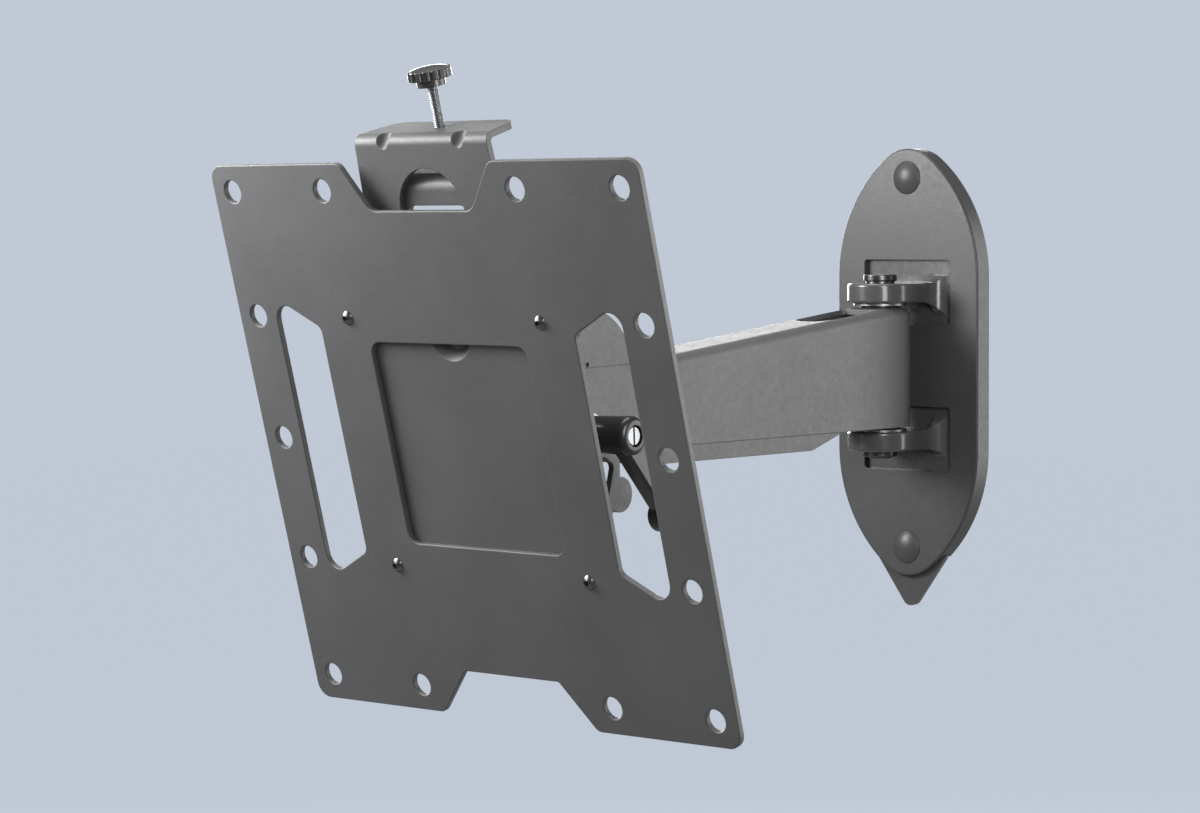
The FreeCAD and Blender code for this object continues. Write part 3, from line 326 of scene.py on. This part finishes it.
class MountSizes(bpy.types.PropertyGroup):
    """Sizes of the details that stand on the construction model."""
    thread_pitch: bpy.props.FloatProperty(
        name="Thread Pitch", description="Pitch of the thumb screw's thread", default=0.7 * MM,
        subtype="DISTANCE", unit="LENGTH", min=0.3 * MM, max=2.0 * MM)
    thread_radius: bpy.props.FloatProperty(
        name="Thread Radius", description="Outer radius of the thumb screw's thread", default=2.0 * MM,
        subtype="DISTANCE", unit="LENGTH", min=1.0 * MM, max=4.0 * MM)
    weld_radius: bpy.props.FloatProperty(
        name="Weld Bead", description="Thickness of the weld beads", default=0.9 * MM,
        subtype="DISTANCE", unit="LENGTH", min=0.3 * MM, max=3.0 * MM)


class MountStage(bpy.types.PropertyGroup):
    """Camera, lamps and floor."""
    lens: bpy.props.FloatProperty(
        name="Lens", description="Focal length on a 36 mm wide frame", default=102.99, min=20.0, max=200.0)
    floor_level: bpy.props.FloatProperty(
        name="Floor Level", description="Height of the floor below the wall plate's middle", default=-0.55,
        subtype="DISTANCE", unit="LENGTH", min=-2.0, max=0.0)
    backdrop: bpy.props.FloatVectorProperty(
        name="Backdrop", description="Colour of the floor and of the background",
        default=(0.527, 0.584, 0.665), subtype="COLOR", size=3, min=0.0, max=1.0)


def tinted(colour, factor):
    """Colour made darker or lighter."""
    return tuple(min(1.0, c * factor) for c in colour)


def material_set():
    """All finishes by the name of the record's slot."""
    finish = bpy.context.scene.mount_finishes
    groups = {"coat": coat_group(), "metal": metal_group()}
    steel = tuple(finish.steel_colour)
    cast = tuple(finish.cast_colour)
    plastic = tuple(finish.plastic_colour)
    black = tuple(finish.black_colour)
    zinc = tuple(finish.zinc_colour)
    grain = finish.grain_size
    rough = finish.steel_roughness
    return {
        "coated_steel": coated("Powder Coated Steel", groups, tinted(steel, 0.92), tinted(steel, 1.08),
                               rough, grain, 0.22, 0.6 * MM),
        "cast_black": coated("Coated Casting", groups, tinted(cast, 0.9), tinted(cast, 1.1),
                             0.26, grain, 0.06, 0.7 * MM, coat=0.7, wear=0.1),
        "cover_black": coated("Moulded Cover", groups, tinted(plastic, 0.94), tinted(plastic, 1.06),
                              0.38, grain * 1.2, 0.16, 0.4 * MM, wear=0.1),
        "pin_steel": plated("Dark Steel Pin", groups, tinted(zinc, 0.3), tinted(zinc, 0.42), 0.3, 0.1),
        "black_screws": plated("Blackened Screws", groups, tinted(zinc, 0.45), tinted(zinc, 0.6), 0.3, 0.15),
        "nylon": coated("Black Nylon", groups, tinted(black, 1.0), tinted(black, 1.4),
                        0.42, grain, 0.06, 0.3 * MM, wear=0.0),
        "knob_plastic": coated("Satin Knob", groups, tinted(black, 2.0), tinted(black, 2.6),
                               0.34, grain * 0.3, 0.06, 0.5 * MM, coat=0.5, wear=0.05),
        "lever_black": coated("Glossy Lever", groups, tinted(black, 0.7), tinted(black, 1.0),
                              0.32, grain * 0.4, 0.1, 0.6 * MM, coat=0.15, wear=0.15),
        "zinc": plated("Bright Zinc", groups, tinted(zinc, 0.85), tinted(zinc, 1.05), 0.36, 0.25),
    }


# Meshes

def finish_object(name, body_mesh, material, body):
    """Object at the origin from a finished bmesh, with its place in its mesh."""
    bmesh.ops.recalc_face_normals(body_mesh, faces=body_mesh.faces)
    mesh = bpy.data.meshes.new(name)
    body_mesh.to_mesh(mesh)
    body_mesh.free()
    mesh.materials.append(material)
    piece = bpy.data.objects.new(name, mesh)
    bpy.context.scene.collection.objects.link(piece)
    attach(piece, body)
    return piece


def smooth_by_angle(piece, degrees):
    """Smooth shading, with edges sharper than the angle left crisp."""
    limit = math.radians(degrees)
    working = bmesh.new()
    working.from_mesh(piece.data)
    for face in working.faces:
        face.smooth = True
    for edge in working.edges:
        edge.smooth = len(edge.link_faces) == 2 and edge.calc_face_angle(0.0) < limit
    working.to_mesh(piece.data)
    working.free()


def bead(working, start, end, radius, sides=10):
    """Straight weld bead from start to end, with rounded ends."""
    along = end - start
    turn = along.to_track_quat("Z", "Y").to_matrix().to_4x4()
    made = bmesh.ops.create_cone(working, cap_ends=True, segments=sides, radius1=radius, radius2=radius,
                                 depth=along.length, matrix=Matrix.Translation((start + end) / 2.0) @ turn)
    rims = {edge for corner in made["verts"] for edge in corner.link_edges
            if abs((edge.verts[0].co - edge.verts[1].co).dot(along)) < 1e-9}
    bmesh.ops.bevel(working, geom=list(rims), offset=radius * BEAD_ROUNDING, offset_type="OFFSET",
                    affect="EDGES", segments=2, profile=0.5, material=-1)


def thread(working, radius, pitch, low, high, steps=28, rows=6):
    """Threaded rod about Z: one groove wound up the rod, cut off flat and closed at both ends."""
    depth = pitch * THREAD_DEPTH_PER_PITCH
    start = low - 2.0 * pitch
    turns = math.ceil((high - low) / pitch) + 3
    groove = []
    for row in range(rows + 1):
        reach = radius - depth * (0.5 - 0.5 * math.cos(math.tau * row / rows)) ** GROOVE_SHARPNESS
        groove.append(working.verts.new((reach, 0.0, start + pitch * row / rows)))
    edges = [working.edges.new(pair) for pair in zip(groove, groove[1:])]
    bmesh.ops.spin(working, geom=groove + edges, axis=(0.0, 0.0, 1.0), cent=(0.0, 0.0, 0.0),
                   dvec=(0.0, 0.0, pitch / steps), angle=math.tau * turns, steps=steps * turns,
                   use_merge=False)
    bmesh.ops.remove_doubles(working, verts=working.verts, dist=1e-6)
    for height, side in ((low, -1.0), (high, 1.0)):
        everything = working.verts[:] + working.edges[:] + working.faces[:]
        cut = bmesh.ops.bisect_plane(working, geom=everything, plane_co=(0.0, 0.0, height),
                                     plane_no=(0.0, 0.0, side), clear_outer=True)
        rim = [part for part in cut["geom_cut"] if isinstance(part, bmesh.types.BMEdge)]
        bmesh.ops.edgeloop_fill(working, edges=rim)


# Pieces

def material_named(name):
    return bpy.data.materials[name]


def cad_object(node):
    """Blender object of a construction node."""
    found = frame["nodes"][node]
    return found if hasattr(found, "data") else bpy.data.objects[node]


def screen_heights(node):
    """Lowest and highest point of a node along the screen plate's own height."""
    into_screen = TO_SCREEN.inverted()
    piece = cad_object(node)
    heights = [(into_screen @ piece.matrix_world @ corner.co).z for corner in piece.data.vertices]
    return min(heights), max(heights)


class MOUNT_OT_finishes(bpy.types.Operator):
    """Give every construction node its finish"""
    bl_idname = "mount.finishes"
    bl_label = "Apply Finishes"

    def execute(self, context):
        finishes = material_set()
        slots = {entry["node"]: entry["material_slot"] for entry in frame["record"]["subparts"]}
        for node, slot in slots.items():
            piece = cad_object(node)
            for holder in piece.material_slots:
                holder.material = finishes[slot]
        return {"FINISHED"}


class MOUNT_OT_thumb_thread(bpy.types.Operator):
    """Cut the thread of the thumb screw"""
    bl_idname = "mount.thumb_thread"
    bl_label = "Thumb Screw Thread"

    def execute(self, context):
        sizes = context.scene.mount_sizes
        working = bmesh.new()
        low, high = screen_heights("thumb_stud")
        thread(working, sizes.thread_radius, sizes.thread_pitch, low + THREAD_END_GAP, high - THREAD_END_GAP)
        bmesh.ops.transform(working, matrix=TO_SCREEN @ Matrix.Translation(THUMB_SCREW_AXIS),
                            verts=working.verts)
        piece = finish_object("thumb_stud_thread", working, material_named("Bright Zinc"), "stud")
        smooth_by_angle(piece, THREAD_CREASE)
        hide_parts("thumb_stud")
        return {"FINISHED"}


class MOUNT_OT_welds(bpy.types.Operator):
    """Lay the weld beads of the yoke and of the hook tabs"""
    bl_idname = "mount.welds"
    bl_label = "Weld Beads"

    def execute(self, context):
        radius = context.scene.mount_sizes.weld_radius
        working = bmesh.new()
        yoke_x, yoke_y = YOKE_WELD
        yoke_low, yoke_high = YOKE_WELD_HEIGHTS
        hook_y, hook_z = HOOK_WELD
        hook_inner, hook_outer = HOOK_WELD_REACH
        for side in (-1, 1):
            bead(working, Vector((side * yoke_x, yoke_y, yoke_low)),
                 Vector((side * yoke_x, yoke_y, yoke_high)), radius)
            bead(working, Vector((side * hook_inner, hook_y, hook_z)),
                 Vector((side * hook_outer, hook_y, hook_z)), radius * HOOK_WELD_SHARE)
        bmesh.ops.transform(working, matrix=TO_SCREEN, verts=working.verts)
        coat = material_named("Powder Coated Steel")
        piece = finish_object("weld_beads", working, coat, "head")
        smooth_by_angle(piece, WELD_CREASE)
        return {"FINISHED"}


class MOUNT_OT_stage(bpy.types.Operator):
    """Place the floor, the lamps and the camera"""
    bl_idname = "mount.stage"
    bl_label = "Stage"

    def execute(self, context):
        stage = context.scene.mount_stage
        working = bmesh.new()
        bmesh.ops.create_grid(working, x_segments=1, y_segments=1, size=FLOOR_SIZE,
                              matrix=Matrix.Translation((0.0, 0.0, stage.floor_level)))
        mesh = bpy.data.meshes.new("floor")
        working.to_mesh(mesh)
        working.free()
        mesh.materials.append(backdrop_material(tuple(stage.backdrop)))
        floor = bpy.data.objects.new("floor", mesh)
        context.scene.collection.objects.link(floor)
        paint_world(context.scene, tuple(stage.backdrop))
        place_lamps(context.scene)
        place_camera(context.scene, stage.lens)
        context.scene.view_settings.view_transform = "Standard"
        return {"FINISHED"}


def backdrop_material(colour):
    """Pale floor: takes the object's shadow, and shows the background colour to the camera."""
    material, tree, shader = base_material("Pale Floor")
    shader.inputs["Base Color"].default_value = (FLOOR_GREY, FLOOR_GREY, FLOOR_GREY, 1.0)
    shader.inputs["Roughness"].default_value = 0.9
    shader.inputs["Specular IOR Level"].default_value = 0.1
    lit = tree.nodes.new("ShaderNodeBsdfDiffuse")
    lit.inputs["Color"].default_value = (*tinted(colour, FLOOR_SHADOW_SHARE * 1.2), 1.0)
    glow = tree.nodes.new("ShaderNodeEmission")
    glow.inputs["Color"].default_value = (*colour, 1.0)
    glow.inputs["Strength"].default_value = 1.0 - FLOOR_SHADOW_SHARE * 0.45
    both = tree.nodes.new("ShaderNodeAddShader")
    link(tree, lit.outputs["BSDF"], both.inputs[0])
    link(tree, glow.outputs["Emission"], both.inputs[1])
    path = tree.nodes.new("ShaderNodeLightPath")
    choice = tree.nodes.new("ShaderNodeMixShader")
    link(tree, path.outputs["Is Camera Ray"], choice.inputs["Fac"])
    link(tree, shader.outputs["BSDF"], choice.inputs[1])
    link(tree, both.outputs["Shader"], choice.inputs[2])
    output = [node for node in tree.nodes if node.type == "OUTPUT_MATERIAL"][0]
    link(tree, choice.outputs["Shader"], output.inputs["Surface"])
    return material


def paint_world(scene, colour):
    """Background colour for the camera, and soft white light for everything else."""
    world = bpy.data.worlds.new("Studio")
    scene.world = world
    world.use_nodes = True
    tree = world.node_tree
    tree.nodes.clear()
    path = tree.nodes.new("ShaderNodeLightPath")
    seen = tree.nodes.new("ShaderNodeBackground")
    seen.inputs["Color"].default_value = (*colour, 1.0)
    soft = tree.nodes.new("ShaderNodeBackground")
    soft.inputs["Color"].default_value = (1.0, 1.0, 1.0, 1.0)
    soft.inputs["Strength"].default_value = ROOM_LIGHT
    mix = tree.nodes.new("ShaderNodeMixShader")
    output = tree.nodes.new("ShaderNodeOutputWorld")
    link(tree, path.outputs["Is Camera Ray"], mix.inputs["Fac"])
    link(tree, soft.outputs["Background"], mix.inputs[1])
    link(tree, seen.outputs["Background"], mix.inputs[2])
    link(tree, mix.outputs["Shader"], output.inputs["Surface"])


def add_lamp(scene, name, place, target, size, power):
    """Rectangular softbox at place, turned to its target."""
    lamp = bpy.data.lights.new(name, "AREA")
    lamp.shape = "RECTANGLE"
    lamp.size, lamp.size_y = size
    lamp.energy = power
    holder = bpy.data.objects.new(name, lamp)
    holder.visible_camera = False
    holder.location = place
    holder.rotation_euler = (Vector(target) - Vector(place)).to_track_quat("-Z", "Y").to_euler()
    scene.collection.objects.link(holder)


def place_lamps(scene):
    middle = (0.0, -0.15, 0.0)
    add_lamp(scene, "Top Softbox", (-0.2, -0.1, 1.2), middle, (1.0, 0.9), 8.5)
    add_lamp(scene, "Near Left Softbox", (-0.3, -0.46, 0.2), (-0.1, -0.3, 0.06), (0.2, 0.2), 2.8)
    add_lamp(scene, "Front Left Softbox", (-0.55, -1.2, 0.3), (0.0, -0.1, 0.0), (0.5, 0.6), 2.9)
    add_lamp(scene, "Front Strip", (1.1, -1.25, 0.45), (0.0, -0.1, 0.0), (0.16, 0.45), 2.4)
    add_lamp(scene, "Rear Left Panel", (-1.5, 1.35, 0.32), middle, (1.8, 0.8), 34.0)
    add_lamp(scene, "Rear Right Panel", (1.05, 1.15, 0.1), middle, (1.0, 1.3), 14.0)
    add_lamp(scene, "Right Side Softbox", (0.34, -0.29, 0.1), (0.02, -0.2, 0.0), (0.12, 0.2), 0.7)


def place_camera(scene, lens):
    """Camera at the photograph's place and angle."""
    camera = bpy.data.cameras.new("Camera")
    camera.sensor_width = SENSOR_WIDTH
    camera.lens = lens
    camera.clip_start = 0.01
    holder = bpy.data.objects.new("Camera", camera)
    right = Vector(CAMERA_RIGHT).normalized()
    ahead = Vector(CAMERA_AHEAD).normalized()
    up = right.cross(ahead).normalized()
    right = ahead.cross(up).normalized()
    turn = Matrix((right, up, -ahead)).transposed().to_4x4()
    holder.matrix_world = Matrix.Translation(CAMERA_PLACE) @ turn
    scene.collection.objects.link(holder)
    scene.camera = holder


class MOUNT_PT_panel(bpy.types.Panel):
    """Lists the steps that dress the mount"""
    bl_idname = "MOUNT_PT_panel"
    bl_label = "Screen Wall Mount"
    bl_space_type = "VIEW_3D"
    bl_region_type = "UI"
    bl_category = "Mount"

    def draw(self, context):
        for step in STEPS:
            self.layout.operator(step.bl_idname)
        for group in (context.scene.mount_finishes, context.scene.mount_sizes, context.scene.mount_stage):
            box = self.layout.box()
            for name in group.__annotations__:
                box.prop(group, name)


STEPS = (MOUNT_OT_finishes, MOUNT_OT_thumb_thread, MOUNT_OT_welds, MOUNT_OT_stage)
GROUPS = (MountFinishes, MountSizes, MountStage)


def register():
    for kind in GROUPS + STEPS + (MOUNT_PT_panel,):
        bpy.utils.register_class(kind)
    bpy.types.Scene.mount_finishes = bpy.props.PointerProperty(type=MountFinishes)
    bpy.types.Scene.mount_sizes = bpy.props.PointerProperty(type=MountSizes)
    bpy.types.Scene.mount_stage = bpy.props.PointerProperty(type=MountStage)


def unregister():
    del bpy.types.Scene.mount_stage
    del bpy.types.Scene.mount_sizes
    del bpy.types.Scene.mount_finishes
    for kind in reversed(GROUPS + STEPS + (MOUNT_PT_panel,)):
        bpy.utils.unregister_class(kind)


def main():
    register()
    for step in STEPS:
        area, name = step.bl_idname.split(".")
        getattr(getattr(bpy.ops, area), name)()


if __name__ == "__main__":
    main()
